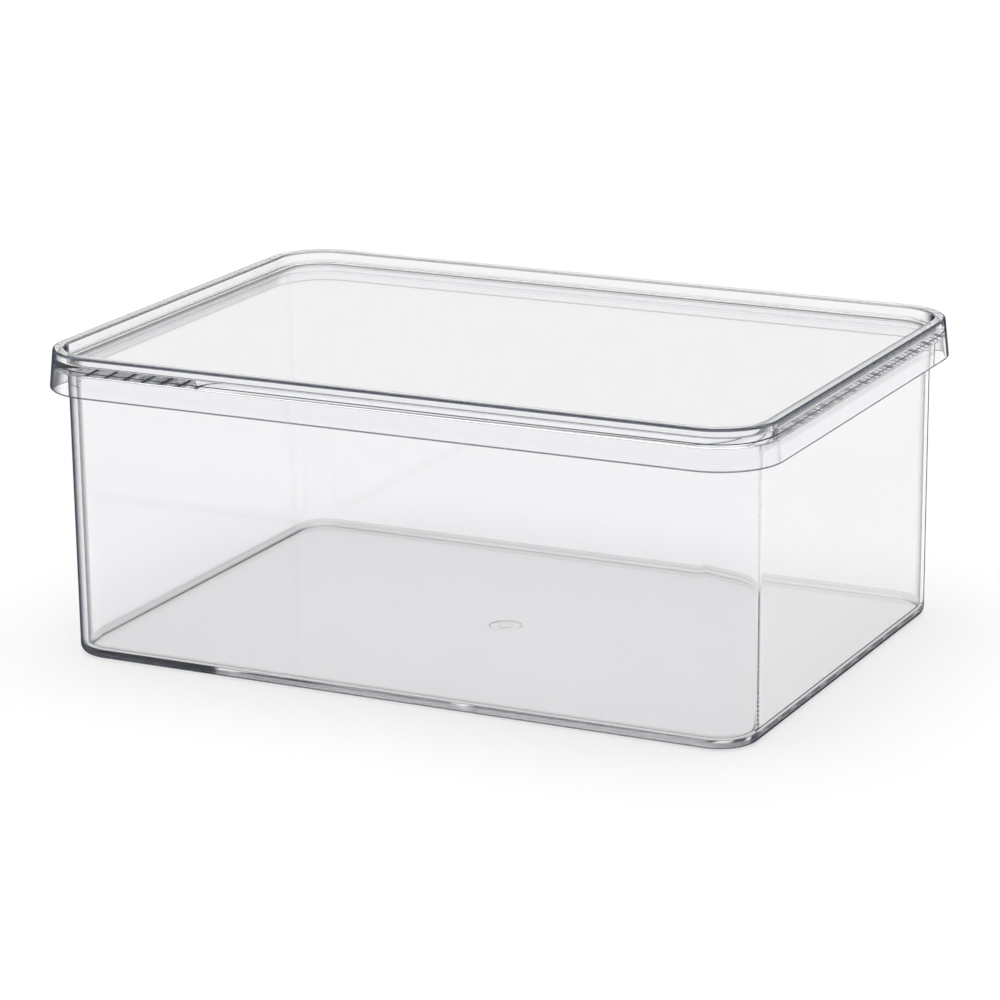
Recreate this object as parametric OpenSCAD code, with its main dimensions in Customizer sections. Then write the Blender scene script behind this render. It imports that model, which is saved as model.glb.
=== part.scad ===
/* [Box] */
// Length of the box wall's outer face, at its top edge
box_length = 266; // [180:1:340]
// Width of the box wall's outer face, at its top edge
box_width = 184.6; // [120:1:260]
// Height of the box from the surface it stands on to its rim
box_height = 106.2; // [60:0.1:160]
// Outer radius of the box's upright corners, at the rim
box_corner_r = 15.5; // [12:0.5:30]
// Thickness of the box's walls
wall = 2.7; // [1.6:0.1:4]
// Thickness of the box's floor
floor_thickness = 2.7; // [1.6:0.1:4]
// How far each wall leans in from the rim to the base, so that it leaves its mould
draft = 0.6; // [0:0.1:2]
// Radius of the outer edge round the base
base_edge_r = 3; // [1:0.5:6]
// Radius of the fillet inside, between the floor and the walls
floor_fillet_r = 2.5; // [0.5:0.5:6]
// Radius on each edge of the rim
rim_edge_r = 0.6; // [0.2:0.1:0.7]

/* [Lid] */
// Distance from the box wall out to the lid's top outer edge
overhang = 5.5; // [4:0.1:9]
// Outer radius of the lid's corners, at the top
lid_corner_r = 21.7; // [16:0.1:36]
// Thickness of the lid's flat panel
panel_thickness = 2.3; // [1.6:0.1:4]
// Height of the raised border round the panel
border_height = 4.2; // [2:0.1:8]
// Width of the raised border
border_width = 4.4; // [3.5:0.1:8]
// Radius on the border's outer edge
border_outer_r = 0.9; // [0.3:0.1:1.2]
// Radius on the border's inner edge
border_inner_r = 0.7; // [0.3:0.1:1.2]
// Radius of the fillets at the panel's edge, above and below it
panel_fillet_r = 0.8; // [0.3:0.1:1.2]
// How far the skirt hangs below the panel's underside
skirt_drop = 7.9; // [4:0.1:20]
// Thickness of the skirt
skirt_thickness = 1.5; // [1.2:0.1:2.5]
// How far the skirt's foot flares out past the lid's top edge
skirt_flare = 1.5; // [0.5:0.1:2.5]

/* [Mould marks] */
// Diameter of the shallow recess under the floor, where the plastic was let in
gate_recess_d = 12; // [6:0.5:20]
// Depth of that recess
gate_recess_depth = 0.6; // [0.3:0.1:1]
// Diameter of the stub left in the recess
gate_stub_d = 5; // [2:0.5:5.5]
// How far the stub stays above the surface that the box stands on
gate_stub_clearance = 0.3; // [0.1:0.1:0.5]

/* [Hidden] */
$fn = 96;
// Flat steps in each rounded edge of a cross-section
edge_steps = 6;
clear_plastic = [0.92, 0.95, 0.97, 0.35];

// Corner centres of the box and of the lid, from the middle
box_run_x = box_length / 2 - box_corner_r;
box_run_y = box_width / 2 - box_corner_r;
lid_run_x = box_length / 2 + overhang - lid_corner_r;
lid_run_y = box_width / 2 + overhang - lid_corner_r;

// Heights of the lid, which lies on the rim
panel_under = box_height;
panel_top = panel_under + panel_thickness;
lid_top = panel_top + border_height;
skirt_foot = panel_under - skirt_drop;
skirt_foot_r = skirt_thickness * 0.45;

function unit(v) = v / norm(v);

// Arc that rounds the corner b between the neighbours a and c, with b's own radius
function corner_arc(a, b, c) =
    let (to_a = unit([a.x - b.x, a.y - b.y]))
    let (to_c = unit([c.x - b.x, c.y - b.y]))
    let (half = acos(to_a * to_c) / 2)
    let (centre = [b.x, b.y] + unit(to_a + to_c) * b.z / sin(half))
    let (start = [b.x, b.y] + to_a * b.z / tan(half) - centre)
    let (finish = [b.x, b.y] + to_c * b.z / tan(half) - centre)
    let (from = atan2(start.y, start.x))
    let (turn = (atan2(finish.y, finish.x) - from + 540) % 360 - 180)
    [for (i = [0:edge_steps]) centre + b.z * [cos(from + turn * i / edge_steps), sin(from + turn * i / edge_steps)]];

// Outline through corners given as [out, up, radius]; a radius of 0 stays sharp
function rounded(corners) =
    let (n = len(corners))
    [for (i = [0:n - 1])
        each corners[i].z == 0
            ? [[corners[i].x, corners[i].y]]
            : corner_arc(corners[(i + n - 1) % n], corners[i], corners[(i + 1) % n])];

// Sweeps a cross-section round a rectangle with rounded corners. The section's x is
// measured outwards from the corner centres, which lie run_x and run_y from the middle.
module around(run_x, run_y) {
    for (corner = [[1, 1, 0], [-1, 1, 90], [-1, -1, 180], [1, -1, 270]])
        translate([corner.x * run_x, corner.y * run_y, 0])
            rotate([0, 0, corner.z])
                rotate_extrude(angle = 90)
                    children();
    for (side = [-1, 1]) {
        translate([side * run_x, side * run_y, 0])
            rotate([90, 0, side * 90 - 90])
                linear_extrude(height = 2 * run_y)
                    children();
        translate([-side * run_x, side * run_y, 0])
            rotate([90, 0, side * 90])
                linear_extrude(height = 2 * run_x)
                    children();
    }
}

// Cross-section of the box, from the corner centre out: floor, wall and rim
module box_section() {
    polygon(rounded([
        [0, 0, 0],
        [box_corner_r - draft, 0, base_edge_r],
        [box_corner_r, box_height, rim_edge_r],
        [box_corner_r - wall, box_height, rim_edge_r],
        [box_corner_r - draft - wall, floor_thickness, floor_fillet_r],
        [0, floor_thickness, 0]
    ]));
}

// Cross-section of the lid, from the corner centre out: panel, raised border and skirt
module lid_section() {
    skirt_in = lid_corner_r - skirt_thickness;
    polygon(rounded([
        [0, panel_under, 0],
        [skirt_in, panel_under, panel_fillet_r],
        [skirt_in + skirt_flare, skirt_foot, skirt_foot_r],
        [lid_corner_r + skirt_flare, skirt_foot, skirt_foot_r],
        [lid_corner_r, lid_top, border_outer_r],
        [lid_corner_r - border_width, lid_top, border_inner_r],
        [lid_corner_r - border_width, panel_top, panel_fillet_r],
        [0, panel_top, 0]
    ]));
}

// Shallow round recess under the floor, with the stub of the inlet left in it
module gate_recess() {
    difference() {
        translate([0, 0, -1])
            cylinder(h = 1 + gate_recess_depth, d = gate_recess_d);
        translate([0, 0, gate_stub_clearance])
            cylinder(h = gate_recess_depth, d = gate_stub_d);
    }
}

// The open box: four drafted walls and a floor in one moulding
module box_body() {
    color(clear_plastic)
        difference() {
            union() {
                around(box_run_x, box_run_y)
                    box_section();
                translate([-box_run_x, -box_run_y, 0])
                    cube([2 * box_run_x, 2 * box_run_y, floor_thickness]);
            }
            gate_recess();
        }
}

// The lift-off lid: a panel in a raised border, with a skirt that hangs outside the rim
module lid() {
    color(clear_plastic) {
        around(lid_run_x, lid_run_y)
            lid_section();
        translate([-lid_run_x, -lid_run_y, panel_under])
            cube([2 * lid_run_x, 2 * lid_run_y, panel_thickness]);
    }
}

box_body();
lid();
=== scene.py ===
import math

import bmesh
import bpy
from mathutils import Matrix, Vector


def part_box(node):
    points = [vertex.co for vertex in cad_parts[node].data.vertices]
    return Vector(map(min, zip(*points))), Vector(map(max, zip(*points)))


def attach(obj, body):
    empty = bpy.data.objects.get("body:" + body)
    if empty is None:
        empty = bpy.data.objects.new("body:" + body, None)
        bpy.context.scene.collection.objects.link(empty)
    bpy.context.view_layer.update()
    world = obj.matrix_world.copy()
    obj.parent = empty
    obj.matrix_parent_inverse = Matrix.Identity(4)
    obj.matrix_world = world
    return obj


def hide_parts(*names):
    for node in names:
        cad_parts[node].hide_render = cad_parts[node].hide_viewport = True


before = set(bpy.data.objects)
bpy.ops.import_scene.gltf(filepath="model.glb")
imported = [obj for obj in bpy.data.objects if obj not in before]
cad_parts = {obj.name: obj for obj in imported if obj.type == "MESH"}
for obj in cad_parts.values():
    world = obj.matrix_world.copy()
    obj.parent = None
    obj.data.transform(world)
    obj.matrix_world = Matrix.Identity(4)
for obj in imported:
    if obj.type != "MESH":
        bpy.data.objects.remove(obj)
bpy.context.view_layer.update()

MM = 0.001

# Box and lid, in millimetres, as the solids have them
BOX_CORNER_R = 15.5
WALL = 2.7
FLOOR = 2.7
DRAFT = 0.6
BASE_EDGE_R = 3.0
FLOOR_FILLET_R = 2.5
RIM_EDGE_R = 0.6
OVERHANG = 5.5
LID_CORNER_R = 21.7
BORDER_HEIGHT = 4.2
BORDER_WIDTH = 4.4
BORDER_OUTER_R = 0.9
BORDER_INNER_R = 0.7
PANEL_FILLET_R = 0.8
SKIRT = 1.5
SKIRT_FLARE = 1.5
SKIRT_FOOT_R = 0.675

# Inlet mark under the floor
GATE_R = 6.0
GATE_DEPTH = 0.6
GATE_STUB_R = 2.5
GATE_STUB_CLEARANCE = 0.3
GATE_EDGE_R = 0.25

# How far out from its centres each section's outline begins and ends
GATE_START = 0.4
GATE_MARGIN = 1
BOX_START = 6
LID_START = 8

# How dark the painted shade line on each rounded edge is, put where the edge bends the view away
# from the white floor
BORDER_SHADE_LINE = 0.75
RIM_SHADE_LINE = 0.45
FOOT_SHADE_LINE = 0.65
FILLET_SHADE_LINE = 0.15
BASE_SHADE_LINE = 0.12

# A face whose normal lies this near to an axis counts as flat
FLAT_NORMAL = 0.99

# Steps in a quarter corner of the plan, and in one rounded edge of a section
CORNER_STEPS = 32
EDGE_STEPS = 8

box_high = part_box("box_body")[1]
lid_low, lid_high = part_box("lid")
RIM_Z = box_high[2] / MM
RUN_X = box_high[0] / MM - BOX_CORNER_R
RUN_Y = box_high[1] / MM - BOX_CORNER_R
LID_RUN_X = box_high[0] / MM + OVERHANG - LID_CORNER_R
LID_RUN_Y = box_high[1] / MM + OVERHANG - LID_CORNER_R
LID_TOP_Z = lid_high[2] / MM
SKIRT_FOOT_Z = lid_low[2] / MM
PANEL_TOP_Z = LID_TOP_Z - BORDER_HEIGHT


def rounded_corner(before, corner, after, radius):
    """Points of the arc that rounds one corner of a section."""
    here = Vector(corner)
    to_before = (Vector(before) - here).normalized()
    to_after = (Vector(after) - here).normalized()
    half = to_before.angle(to_after) / 2
    reach = radius / math.tan(half)
    centre = here + (to_before + to_after).normalized() * radius / math.sin(half)
    start = here + to_before * reach - centre
    finish = here + to_after * reach - centre
    sweep = math.atan2(finish.y, finish.x) - math.atan2(start.y, start.x)
    turn = (sweep + 3 * math.pi) % (2 * math.pi) - math.pi
    turns = [turn * step / EDGE_STEPS for step in range(EDGE_STEPS + 1)]
    return [centre + Matrix.Rotation(part, 2) @ start for part in turns]


def rounded(corners):
    """Open outline through (out, up, radius, line) corners, as (out, up, line) points.

    A radius of 0 stays sharp. The last value is how dark the painted shade line along the rounded
    edge is, from 0 to 1.
    """
    points = []
    for index, (out, up, radius, painted_line) in enumerate(corners):
        if radius == 0:
            points.append((out, up, 0))
            continue
        arc = rounded_corner(corners[index - 1][:2], (out, up), corners[index + 1][:2], radius)
        points += [(*point, painted_line if step else 0) for step, point in enumerate(arc)]
    return points


def in_plan(place, run_x, run_y, out):
    """Point of a rounded rectangle, out millimetres from the corner centres.

    With no runs it is a circle.
    """
    quarter, step = divmod(place, CORNER_STEPS + 1)
    part = (step + 0.5) / (CORNER_STEPS + 1) if run_x == 0 else step / CORNER_STEPS
    angle = (quarter + part) * math.pi / 2
    side_x = 1 if quarter in (0, 3) else -1
    side_y = 1 if quarter in (0, 1) else -1
    return side_x * run_x + out * math.cos(angle), side_y * run_y + out * math.sin(angle)


def moulding(name, stations):
    """Closed shell through stations (run_x, run_y, out, up, line), capped at both ends."""
    bm = bmesh.new()
    painted_shade_line = bm.faces.layers.float.new("painted_shade_line")
    count = 4 * (CORNER_STEPS + 1)
    place = bm.verts.layers.int.new("place")
    bmesh.ops.create_circle(bm, cap_ends=True, segments=count, radius=1)
    made = sorted(bm.verts, key=lambda vert: math.atan2(vert.co.y, vert.co.x) % (2 * math.pi))
    for index, vert in enumerate(made):
        vert[place] = index
    edges = list(bm.edges)
    for number, (run_x, run_y, out, up, painted_line) in enumerate(stations):
        if number:
            geometry = bmesh.ops.extrude_edge_only(bm, edges=edges)["geom"]
            # Each new face carries how dark its painted shade line is
            for face in (item for item in geometry if isinstance(item, bmesh.types.BMFace)):
                face[painted_shade_line] = painted_line
            made = [item for item in geometry if isinstance(item, bmesh.types.BMVert)]
            edges = [item for item in geometry if isinstance(item, bmesh.types.BMEdge)]
        for vert in made:
            x, y = in_plan(vert[place], run_x, run_y, out)
            vert.co = Vector((x, y, up)) * MM
    bmesh.ops.contextual_create(bm, geom=edges)
    bm.verts.layers.int.remove(bm.verts.layers.int["place"])
    bmesh.ops.recalc_face_normals(bm, faces=bm.faces)
    for face in bm.faces:
        face.smooth = True
    mesh = bpy.data.meshes.new(name)
    bm.to_mesh(mesh)
    bm.free()
    piece = bpy.data.objects.new(name, mesh)
    bpy.context.scene.collection.objects.link(piece)
    mark_curves(mesh)
    even = piece.modifiers.new("even_normals", "WEIGHTED_NORMAL")
    even.keep_sharp = True
    return piece


def mark_curves(mesh):
    """Writes the attribute curved: 1 on rounded corners and edges, 0 on flat faces."""
    curved = mesh.attributes.new("curved", "FLOAT", "FACE")
    for face, value in zip(mesh.polygons, curved.data):
        flat = sum(abs(part) > FLAT_NORMAL for part in face.normal) == 1
        value.value = 0 if flat else 1


def box_stations():
    """The inlet mark from its middle outwards, then the shell from the underside to the floor."""
    gate = rounded([
        (GATE_START, GATE_STUB_CLEARANCE, 0, 0),
        (GATE_STUB_R, GATE_STUB_CLEARANCE, GATE_EDGE_R / 2, 0),
        (GATE_STUB_R, GATE_DEPTH, 0, 0),
        (GATE_R, GATE_DEPTH, GATE_EDGE_R, 0),
        (GATE_R, 0, GATE_EDGE_R, 0),
        (GATE_R + GATE_MARGIN, 0, 0, 0),
    ])
    inside = BOX_CORNER_R - DRAFT - WALL
    shell = rounded([
        (BOX_START, 0, 0, 0),
        (BOX_CORNER_R - DRAFT, 0, BASE_EDGE_R, BASE_SHADE_LINE),
        (BOX_CORNER_R, RIM_Z, RIM_EDGE_R, RIM_SHADE_LINE),
        (BOX_CORNER_R - WALL, RIM_Z, RIM_EDGE_R, RIM_SHADE_LINE),
        (inside, FLOOR, FLOOR_FILLET_R, FILLET_SHADE_LINE),
        (BOX_START, FLOOR, 0, 0),
    ])
    return [(0, 0, *point) for point in gate] + [(RUN_X, RUN_Y, *point) for point in shell]


def lid_stations():
    """The lid from the underside of the panel round the skirt and the border to its top."""
    skirt_in = LID_CORNER_R - SKIRT
    border_in = LID_CORNER_R - BORDER_WIDTH
    shell = rounded([
        (LID_START, RIM_Z, 0, 0),
        (skirt_in, RIM_Z, PANEL_FILLET_R, RIM_SHADE_LINE),
        (skirt_in + SKIRT_FLARE, SKIRT_FOOT_Z, SKIRT_FOOT_R, FOOT_SHADE_LINE),
        (LID_CORNER_R + SKIRT_FLARE, SKIRT_FOOT_Z, SKIRT_FOOT_R, FOOT_SHADE_LINE),
        (LID_CORNER_R, LID_TOP_Z, BORDER_OUTER_R, BORDER_SHADE_LINE),
        (border_in, LID_TOP_Z, BORDER_INNER_R, RIM_SHADE_LINE),
        (border_in, PANEL_TOP_Z, PANEL_FILLET_R, FILLET_SHADE_LINE),
        (LID_START, PANEL_TOP_Z, 0, 0),
    ])
    return [(LID_RUN_X, LID_RUN_Y, *point) for point in shell]


# Clear plastic

PLASTIC_IOR = 1.5
PLASTIC_TINT = (0.945, 0.945, 0.955, 1)
COOL_TINT = (0.25, 0.36, 0.5, 1)
COOL_DENSITY = 0.5

# Painted shade on a rounded face, growing from straight on, 0, to edge on, 1
PAINTED_SHADE_COLOUR = (0.025, 0.035, 0.06, 1)
PAINTED_SHADE_BEGINS = 0.38
PAINTED_SHADE_FULL = 0.78
PAINTED_SHADE_SHARE = 0.95
FACING_BLEND = 0.5

# Share of its painted shade lines that light inside the plastic still meets
BOX_INNER_SHADE_LINE = 0.5
LID_INNER_SHADE_LINE = 0.05

# Handling haze in the polish, and flow waves in the surface
HAZE_SCALE = 45
HAZE_DETAIL = 6
HAZE_BEGINS = 0.45
HAZE_FULL = 0.8
HAZE_ROUGHNESS = 0.03
WAVE_SCALE = 14
WAVE_DETAIL = 1
WAVE_STRENGTH = 0.01
WAVE_HEIGHT = 0.4 * MM


def new_node(nodes, kind, values):
    """Adds a node with these values on its own sockets."""
    node = nodes.new(kind)
    for socket, value in values.items():
        node.inputs[socket].default_value = value
    return node


def face_value(nodes, name):
    """Reads one of the mesh's face attributes."""
    node = nodes.new("ShaderNodeAttribute")
    node.attribute_name = name
    return node.outputs["Fac"]


def joined(nodes, link, operation, first, second):
    """Result of one operation on two outputs."""
    node = nodes.new("ShaderNodeMath")
    node.operation = operation
    link(first, node.inputs[0])
    link(second, node.inputs[1])
    return node.outputs["Value"]


def painted_edge_shade(nodes, link, inner_shade_line):
    """How much painted shade shows: rounded faces seen edge on, and the painted shade lines on
    the edges.
    """
    facing = new_node(nodes, "ShaderNodeLayerWeight", {"Blend": FACING_BLEND})
    curved = face_value(nodes, "curved")
    turned = joined(nodes, link, "MULTIPLY", facing.outputs["Facing"], curved)
    edge = new_node(nodes, "ShaderNodeMapRange", {
        "From Min": PAINTED_SHADE_BEGINS, "From Max": PAINTED_SHADE_FULL, "To Max": PAINTED_SHADE_SHARE})
    edge.interpolation_type = "SMOOTHSTEP"
    link(turned, edge.inputs["Value"])
    drawn = face_value(nodes, "painted_shade_line")
    darkest = joined(nodes, link, "MAXIMUM", edge.outputs["Result"], drawn)
    side = nodes.new("ShaderNodeNewGeometry")
    share = new_node(nodes, "ShaderNodeMapRange", {"To Min": 1, "To Max": inner_shade_line})
    link(side.outputs["Backfacing"], share.inputs["Value"])
    return joined(nodes, link, "MULTIPLY", darkest, share.outputs["Result"])


def clear_plastic(name, inner_shade_line):
    """Polished clear moulding: cool body tint, painted shade on its edges, flow waves and
    handling haze.
    """
    material = bpy.data.materials.new(name)
    material.use_nodes = True
    nodes = material.node_tree.nodes
    link = material.node_tree.links.new
    surface = nodes["Principled BSDF"]
    surface.inputs["Transmission Weight"].default_value = 1
    surface.inputs["IOR"].default_value = PLASTIC_IOR
    surface.inputs["Base Color"].default_value = PLASTIC_TINT
    # Near-black diffuse mixed over the plastic: painted shade along its edges
    dark = new_node(nodes, "ShaderNodeBsdfDiffuse", {"Color": PAINTED_SHADE_COLOUR})
    whole = nodes.new("ShaderNodeMixShader")
    link(painted_edge_shade(nodes, link, inner_shade_line), whole.inputs["Fac"])
    link(surface.outputs["BSDF"], whole.inputs[1])
    link(dark.outputs["BSDF"], whole.inputs[2])
    link(whole.outputs["Shader"], nodes["Material Output"].inputs["Surface"])
    place = nodes.new("ShaderNodeTexCoord")
    haze = new_node(nodes, "ShaderNodeTexNoise", {"Scale": HAZE_SCALE, "Detail": HAZE_DETAIL})
    link(place.outputs["Object"], haze.inputs["Vector"])
    spread = new_node(nodes, "ShaderNodeMapRange", {
        "From Min": HAZE_BEGINS, "From Max": HAZE_FULL, "To Max": HAZE_ROUGHNESS})
    link(haze.outputs["Fac"], spread.inputs["Value"])
    link(spread.outputs["Result"], surface.inputs["Roughness"])
    flow = new_node(nodes, "ShaderNodeTexNoise", {"Scale": WAVE_SCALE, "Detail": WAVE_DETAIL})
    link(place.outputs["Object"], flow.inputs["Vector"])
    waves = new_node(nodes, "ShaderNodeBump", {
        "Strength": WAVE_STRENGTH, "Distance": WAVE_HEIGHT})
    link(flow.outputs["Fac"], waves.inputs["Height"])
    link(waves.outputs["Normal"], surface.inputs["Normal"])
    body = new_node(nodes, "ShaderNodeVolumeAbsorption", {
        "Color": COOL_TINT, "Density": COOL_DENSITY})
    link(body.outputs["Volume"], nodes["Material Output"].inputs["Volume"])
    return material


box_plastic = clear_plastic("clear_box_plastic", BOX_INNER_SHADE_LINE)
lid_plastic = clear_plastic("clear_lid_plastic", LID_INNER_SHADE_LINE)

box_piece = moulding("box_moulding", box_stations())
box_piece.data.materials.append(box_plastic)
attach(box_piece, "box_body")
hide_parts("box_body")

lid_piece = moulding("lid_moulding", lid_stations())
lid_piece.data.materials.append(lid_plastic)
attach(lid_piece, "lid")
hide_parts("lid")

for node, plastic in (("box_body", box_plastic), ("lid", lid_plastic)):
    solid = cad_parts[node]
    solid.data.materials.clear()
    solid.data.materials.append(plastic)

# Floor: matt white, part of it a steady glow, so that its shadow stays pale

FLOOR_GLOW = 0.62
FLOOR_PAINT = (0.86, 0.86, 0.86, 1)
FLOOR_ROUGHNESS = 0.7
FLOOR_HALF = 8
FLOOR_GAP = 0.2 * MM

bm = bmesh.new()
bmesh.ops.create_grid(bm, x_segments=1, y_segments=1, size=FLOOR_HALF)
bmesh.ops.translate(bm, verts=bm.verts, vec=(0, 0, -FLOOR_GAP))
floor_mesh = bpy.data.meshes.new("floor")
bm.to_mesh(floor_mesh)
bm.free()
floor = bpy.data.objects.new("floor", floor_mesh)
bpy.context.scene.collection.objects.link(floor)
floor_paint = bpy.data.materials.new("floor_paint")
floor_paint.use_nodes = True
paint = floor_paint.node_tree.nodes["Principled BSDF"]
paint.inputs["Base Color"].default_value = FLOOR_PAINT
paint.inputs["Roughness"].default_value = FLOOR_ROUGHNESS
paint.inputs["Specular IOR Level"].default_value = 0
floor_nodes = floor_paint.node_tree.nodes
floor_link = floor_paint.node_tree.links.new
seen = floor_nodes.new("ShaderNodeLightPath")
glow = floor_nodes.new("ShaderNodeEmission")
glow.inputs["Strength"].default_value = 1
not_diffuse = floor_nodes.new("ShaderNodeMath")
not_diffuse.operation = "MULTIPLY_ADD"
not_diffuse.inputs[1].default_value = -FLOOR_GLOW
not_diffuse.inputs[2].default_value = FLOOR_GLOW
floor_link(seen.outputs["Is Diffuse Ray"], not_diffuse.inputs[0])
blend = floor_nodes.new("ShaderNodeMixShader")
floor_link(not_diffuse.outputs["Value"], blend.inputs["Fac"])
floor_link(paint.outputs["BSDF"], blend.inputs[1])
floor_link(glow.outputs["Emission"], blend.inputs[2])
floor_link(blend.outputs["Shader"], floor_nodes["Material Output"].inputs["Surface"])
floor.data.materials.append(floor_paint)

# Sky: a soft room by height above the horizon, the same from every side

SKY = [
    # sine of the height above the horizon, brightness
    (-1.0, 1.0),
    (0.0, 0.88),
    (0.36, 0.88),
    (0.46, 0.06),
    (0.8, 0.06),
    (0.86, 3.3),
    (1.0, 3.3),
]
SKY_STRENGTH = 3.3

world = bpy.data.worlds.new("room")
bpy.context.scene.world = world
world.use_nodes = True
sky_nodes = world.node_tree.nodes
sky_link = world.node_tree.links.new
direction = sky_nodes.new("ShaderNodeTexCoord")
split = sky_nodes.new("ShaderNodeSeparateXYZ")
sky_link(direction.outputs["Generated"], split.inputs["Vector"])
height = sky_nodes.new("ShaderNodeMapRange")
height.inputs["From Min"].default_value = -1
height.inputs["From Max"].default_value = 1
sky_link(split.outputs["Z"], height.inputs["Value"])
ramp = sky_nodes.new("ShaderNodeValToRGB")
sky_link(height.outputs["Result"], ramp.inputs["Fac"])
steps = ramp.color_ramp.elements
while len(steps) < len(SKY):
    steps.new(0.5)
for step, (sine, brightness) in zip(steps, SKY):
    step.position = (sine + 1) / 2
    level = brightness / SKY_STRENGTH
    step.color = (level, level, level, 1)
background = sky_nodes["Background"]
background.inputs["Strength"].default_value = SKY_STRENGTH
sky_link(ramp.outputs["Color"], background.inputs["Color"])

# Camera, fitted to the photograph

VIEW_AZIMUTH = math.radians(26.3484)
VIEW_ELEVATION = math.radians(15.5924)
VIEW_ROLL = math.radians(-0.6237)
VIEW_DISTANCE = 1.45537
LENS = 144.51
SENSOR = 36
NEAREST_SEEN = 0.01
SHIFT = (-0.005457, -0.018031)

back = Vector((math.sin(VIEW_AZIMUTH) * math.cos(VIEW_ELEVATION),
               -math.cos(VIEW_AZIMUTH) * math.cos(VIEW_ELEVATION),
               math.sin(VIEW_ELEVATION)))
level_right = Vector((math.cos(VIEW_AZIMUTH), math.sin(VIEW_AZIMUTH), 0))
level_up = back.cross(level_right)
right = level_right * math.cos(VIEW_ROLL) + level_up * math.sin(VIEW_ROLL)
up = level_up * math.cos(VIEW_ROLL) - level_right * math.sin(VIEW_ROLL)
aim = Vector((0, 0, LID_TOP_Z * MM / 2))
lens = bpy.data.cameras.new("camera")
lens.lens = LENS
lens.sensor_width = SENSOR
lens.shift_x, lens.shift_y = SHIFT
lens.clip_start = NEAREST_SEEN
camera = bpy.data.objects.new("camera", lens)
axes = Matrix((right, up, back)).transposed().to_4x4()
camera.matrix_world = Matrix.Translation(aim + back * VIEW_DISTANCE) @ axes
bpy.context.scene.collection.objects.link(camera)
bpy.context.scene.camera = camera

# Light runs a long way inside the panel and the floor before it leaves them
LIGHT_BOUNCES = 256

scene = bpy.context.scene
scene.view_settings.view_transform = "Standard"
scene.cycles.max_bounces = LIGHT_BOUNCES
scene.cycles.transmission_bounces = LIGHT_BOUNCES
scene.cycles.glossy_bounces = LIGHT_BOUNCES
